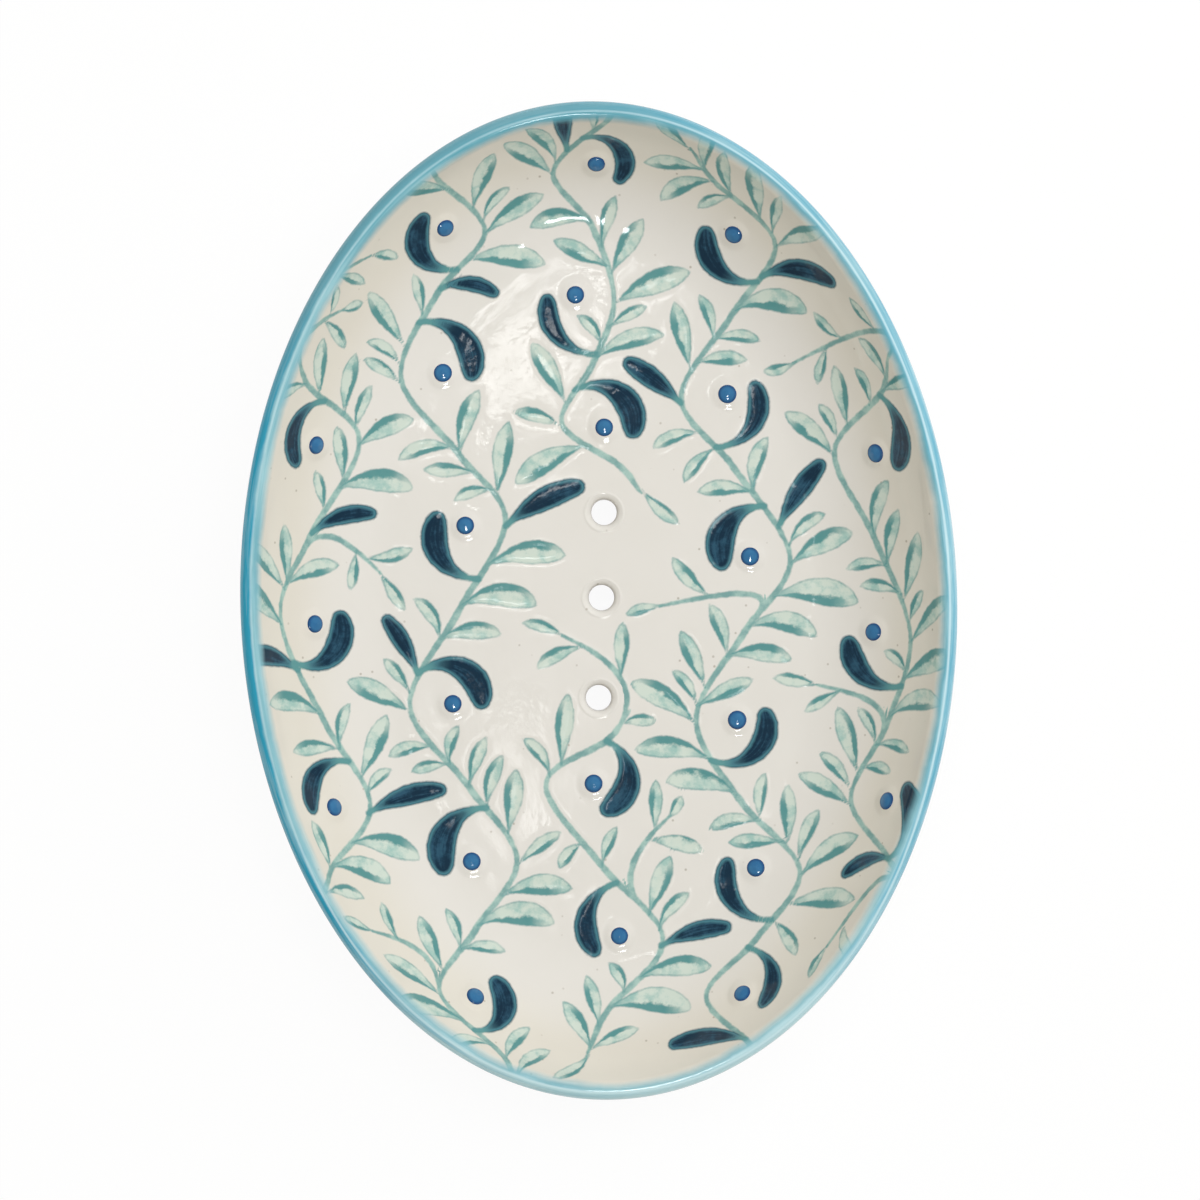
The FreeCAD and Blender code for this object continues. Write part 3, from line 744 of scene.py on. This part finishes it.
upper_right = add(tree, "ShaderNodeVectorMath", {0: place, 1: (0.8, 0.6, 0.0)}, operation="DOT_PRODUCT").node
to_upper_right = spread(tree, upper_right.outputs["Value"], -0.01, 0.045)

# Painted sheen: the outer tint is painted paler to the right and at the lower end.
right_sheen = calc(tree, "MULTIPLY", to_right, 0.45)
painted_light_share = calc(tree, "ADD", right_sheen, spread(tree, spot["Y"], -0.042, -0.066, 0.0, 0.85))
outer_tint_painted_light = blend(tree, calc(tree, "ADD", painted_light_share, mottle), pigment(48, 160, 193), pigment(190, 226, 235))
# Painted shade: the outer tint is painted greyer at the upper end, most on the left.
upper_end_painted_shade = spread(tree, to_right, 0.0, 1.0, 0.75, 0.2)
upper_end_painted_shade = calc(tree, "MULTIPLY", upper_end_painted_shade, spread(tree, spot["Y"], 0.02, 0.05))
outer_tint_painted_light = blend(tree, upper_end_painted_shade, outer_tint_painted_light, pigment(116, 166, 178))
# Painted shade: the inner tint is painted deeper towards the upper right and paler towards the lower left.
painted_light_share = calc(tree, "ADD", spread(tree, to_upper_right, 0.0, 1.0, 0.55, 0.0), mottle)
inner_tint_painted_shade = blend(tree, painted_light_share, pigment(96, 166, 184), pigment(168, 212, 221))
tint = blend(tree, spread(tree, down, 2.0, 2.6), inner_tint_painted_shade, outer_tint_painted_light)

# Painted highlight: a pale line along the crest, partly the glaze breaking thin, moved outward and made
# stronger towards the right and the lower end.
lit_side_shift = calc(tree, "ADD", right_sheen, spread(tree, spot["Y"], -0.02, -0.05, 0.0, 0.4))
crest_highlight_place = calc(tree, "SUBTRACT", run_down, lit_side_shift)
crest_highlight = calc(tree, "MULTIPLY", spread(tree, crest_highlight_place, 1.85, 2.1), spread(tree, crest_highlight_place, 2.4, 2.15))
crest_highlight = calc(tree, "MULTIPLY", crest_highlight, spread(tree, lit_side_shift, 0.0, 0.4, 0.3, 0.65))
tint = blend(tree, crest_highlight, tint, pigment(214, 242, 250))

lower_edge = calc(tree, "ADD", run_down, spread(tree, streaks, 0.3, 0.7, -0.45, 0.45))
lower_edge = spread(tree, calc(tree, "ADD", lower_edge, drift), 8.5, 9.3, 0.0, 0.9)
tint = blend(tree, lower_edge, tint, pigment(214, 222, 216))
inner_edge = calc(tree, "ADD", down, spread(tree, lit_side_shift, 0.0, 0.4, 0.0, -0.65))
tint = blend(tree, spread(tree, inner_edge, -0.1, 1.7), painted_cream(tree, place), tint)
dimple = dimples(tree, grain(tree, place, 500.0, 3.0), 0.08)
finish(tree, {"Base Color": tint, "Roughness": 0.1, "Normal": dimple})
band = pressed_oval(band_section, 8 * rings, painted=True)
piece("rim_glaze_band", band, turquoise, "rim_glaze")

# The outside: cream glaze like the liner's, without the painting, from under the band down to the line
# where the foot was wiped clean before firing. It was poured over in one even coat.
foot_inset, bare_foot = 0.016, 0.0018
foot_lift = math.asin((wall_run - foot_inset) / outer_curve)
clay_foot_lift = math.asin((wall_run - foot_inset - glaze_coat) / (outer_curve - glaze_coat))
outside_section = [outer_wall(lift) for lift in np.linspace(outer_seam, foot_lift, 15)]
outside_section += [(foot_inset, height) for height in (0.0046, 0.0034, 0.0025, bare_foot)]
outside_section += [(foot_inset + glaze_coat, bare_foot)]
outside_section += [outer_wall(lift, glaze_coat) for lift in np.linspace(clay_foot_lift, outer_seam, 6)]
plain_cream, tree, place = glaze("cream_glaze_plain")
ground = blend(tree, grain(tree, place, 60.0), pigment(231, 229, 222), pigment(222, 218, 207))
ground = speckled(tree, place, ground, cream_speck, cream_speck_density)
gloss = spread(tree, grain(tree, place, 180.0, 4.0), 0.3, 0.75, 0.08, 0.2)
dimple = dimples(tree, grain(tree, place, 500.0, 3.0), 0.08)
finish(tree, {"Base Color": ground, "Roughness": gloss, "Normal": dimple})
outside = pressed_oval(outside_section, 4 * rings)
piece("outer_glaze_coat", outside, plain_cream, "outer_glaze")

# The underside: the same cream glaze on the flat inside the foot ring, as the CAD node has it.
# It was brushed on thin, and shares the material of the outside.
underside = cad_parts["underside_glaze"]
underside.data.materials.clear()
underside.data.materials.append(plain_cream)

# The clay: a pressed stoneware body, seen only at the bare foot ring and its two drain scallops.
# It is fired buff with a sandy grain and iron specks, sponged smooth but not polished.
clay, tree, place = glaze("bare_stoneware")
ground = blend(tree, grain(tree, place, 140.0, 6.0, 0.65), pigment(214, 196, 170), pigment(188, 166, 138))
ground = speckled(tree, place, ground, pigment(104, 78, 56), 900.0)
dimple = dimples(tree, grain(tree, place, 2600.0, 4.0, 0.7), 0.5)
finish(tree, {"Base Color": ground, "Roughness": 0.8, "Normal": dimple})
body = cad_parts["stoneware_body"]
body.data.materials.clear()
body.data.materials.append(clay)

# The beads: drops of thick cobalt glaze, set down one by one from a slip trailer and fired round. Each is
# a low dome, square to the surface it was dropped on, with a small peak where the trailer left it, and is
# coloured darker towards its edge.
bead_radius, bead_rise, bead_edge, bead_foot = 0.00135, 0.00056, -0.00002, -0.00022
peak_radius, peak_rise = 0.0003, 0.00007
dome_turn, dome_steps, bead_steps = 1.45, 13, 32
dome = []
for angle in np.linspace(0, dome_turn, dome_steps):
    reach = bead_radius * math.sin(angle)
    peak = peak_rise * math.exp(-((reach / peak_radius) ** 2))
    dome.append((reach, bead_rise * math.cos(angle) ** 0.8 + peak))
dome += [(bead_radius, bead_edge), (bead_radius * 0.97, bead_foot)]
beads = bmesh.new()
skirt = beads.verts.layers.float.new("skirt_share")
for across, along in bead_plan:
    turn, lift = wall_place(across, along)
    edge, outward = outline(turn)
    upright = Vector((*(-outward * math.sin(lift)), math.cos(lift)))
    height = floor_level + wall_curve * (1 - math.cos(lift))
    tilt = Vector((0, 0, 1)).rotation_difference(upright).to_matrix().to_4x4()
    seat = Matrix.Translation((across, along, height)) @ tilt
    size = brush.uniform(0.93, 1.0)
    corners = [beads.verts.new((reach * size, 0, rise * size)) for reach, rise in dome]
    for vert, (reach, _) in zip(corners, dome):
        vert[skirt] = reach / bead_radius
    edges = [beads.edges.new(pair) for pair in zip(corners, corners[1:])]
    bmesh.ops.spin(beads, geom=corners + edges, axis=(0, 0, 1), cent=(0, 0, 0),
                   angle=2 * math.pi, steps=bead_steps, use_merge=True)
    fresh = [vert for vert in beads.verts if not vert.tag]
    bmesh.ops.remove_doubles(beads, verts=fresh, dist=1e-7)
    fresh = [vert for vert in beads.verts if not vert.tag]
    foot = [side for side in beads.edges if side.is_boundary]
    bmesh.ops.holes_fill(beads, edges=foot, sides=0)
    bmesh.ops.transform(beads, matrix=seat, verts=fresh)
    for vert in fresh:
        vert.tag = True
bmesh.ops.recalc_face_normals(beads, faces=beads.faces)
cobalt, tree, place = glaze("cobalt_glaze_bead")
tint = blend(tree, grain(tree, place, 700.0, 4.0), pigment(28, 94, 148), pigment(66, 130, 174))
at_skirt = spread(tree, carried(tree, "skirt_share")["Fac"], 0.6, 0.95, 0.0, 0.8)
tint = blend(tree, at_skirt, tint, pigment(14, 60, 116))
finish(tree, {"Base Color": tint, "Roughness": 0.06, "Coat Weight": 0.5, "Coat Roughness": 0.03})
piece("cobalt_bead_drops", beads, cobalt, "glaze_beads")

# The stage: a white table that fades into the white picture. A box overhead and a panel at the right light
# the dish without showing in the glaze. Two small strips show in it as highlights, and the lamp at the
# lower end shows there only.
table_half, table_glow = 3.0, 0.94
stage_mesh = bmesh.new()
bmesh.ops.create_grid(stage_mesh, x_segments=1, y_segments=1, size=table_half)
table_data = bpy.data.meshes.new("table")
stage_mesh.to_mesh(table_data)
stage_mesh.free()
table = bpy.data.objects.new("table", table_data)
bpy.context.scene.collection.objects.link(table)
table_paint = bpy.data.materials.new("white_table")
table_paint.use_nodes = True
tree = table_paint.node_tree
tree.nodes.remove(tree.nodes["Principled BSDF"])
rays = tree.nodes.new("ShaderNodeLightPath").outputs
seen = calc(tree, "MAXIMUM", rays["Is Camera Ray"],
            calc(tree, "MAXIMUM", rays["Is Glossy Ray"], rays["Is Transmission Ray"]))
chalk = add(tree, "ShaderNodeBsdfDiffuse", {"Color": (0.98, 0.98, 0.98, 1.0)})
glow = add(tree, "ShaderNodeEmission", {"Color": (1.0, 1.0, 1.0, 1.0), "Strength": 1.0})
mixed = add(tree, "ShaderNodeMixShader", {0: calc(tree, "MULTIPLY", seen, table_glow), 1: chalk, 2: glow})
feed(tree, tree.nodes["Material Output"].inputs["Surface"], mixed)
table_data.materials.append(table_paint)


def soft_light(name, spot, width, depth, glow, colour, turn=0.0, mirrored=True, lighting=True):
    """A flat lamp that faces the dish, as bright as its glow. A mirrored one shows in the glaze, and one
    that is not lighting shows there only."""
    lamp = bpy.data.lights.new(name, "AREA")
    lamp.shape = "RECTANGLE"
    lamp.size, lamp.size_y = width, depth
    lamp.energy = glow * math.pi * width * depth
    lamp.color = colour
    shown = bpy.data.objects.new(name, lamp)
    shown.location = spot
    facing = (Vector((0.0, 0.0, 0.01)) - Vector(spot)).to_track_quat("-Z", "Y").to_matrix()
    shown.rotation_euler = (facing @ Matrix.Rotation(math.radians(turn), 3, "Z")).to_euler()
    shown.visible_camera = False
    shown.visible_glossy, shown.visible_diffuse = mirrored, lighting
    bpy.context.scene.collection.objects.link(shown)


daylight, lamplight, lamp_level = (0.95, 0.97, 1.0), (1.0, 1.0, 1.0), 0.80
soft_light("box_overhead", (0.10, 0.12, lamp_level), 0.5, 0.4, 5.0, daylight, mirrored=False)
soft_light("panel_at_right", (0.58, 0.44, 0.55), 0.8, 0.8, 1.65, daylight, mirrored=False)
soft_light("strip_over_upper_end", (-0.013, 0.064, lamp_level), 0.043, 0.018, 6.0, lamplight, turn=22.0)
soft_light("strip_over_lower_end", (-0.0246, -0.0497, lamp_level), 0.040, 0.014, 4.0, lamplight, turn=-60.0)
soft_light("lamp_at_lower_end", (0.05, -0.32, lamp_level), 0.14, 0.08, 26.0, lamplight, lighting=False)
sky_lighting, sky_mirrored = 0.40, 0.25
world = bpy.data.worlds.new("studio")
world.use_nodes = True
sky = world.node_tree
backdrop = sky.nodes["Background"].inputs
mirrored = sky.nodes.new("ShaderNodeLightPath").outputs["Is Glossy Ray"]
feed(sky, backdrop["Color"], (1.0, 0.94, 0.80, 1.0))
feed(sky, backdrop["Strength"], spread(sky, mirrored, 0.0, 1.0, sky_lighting, sky_mirrored))
bpy.context.scene.world = world
bpy.context.scene.view_settings.view_transform = "Standard"

# The camera looks straight down on the lip from a little under a metre, turned by a degree or two.
eye_height, lip_plane, picture_width, sensor_width = 0.90, 0.0215, 0.168, 36.0
eye = bpy.data.cameras.new("eye")
eye.sensor_width = sensor_width
eye.lens = sensor_width * eye_height / picture_width
camera = bpy.data.objects.new("eye", eye)
camera.location = (0.00018, 0.00007, lip_plane + eye_height)
camera.rotation_euler = (0.0, 0.0, math.radians(-1.72))
bpy.context.scene.collection.objects.link(camera)
bpy.context.scene.camera = camera
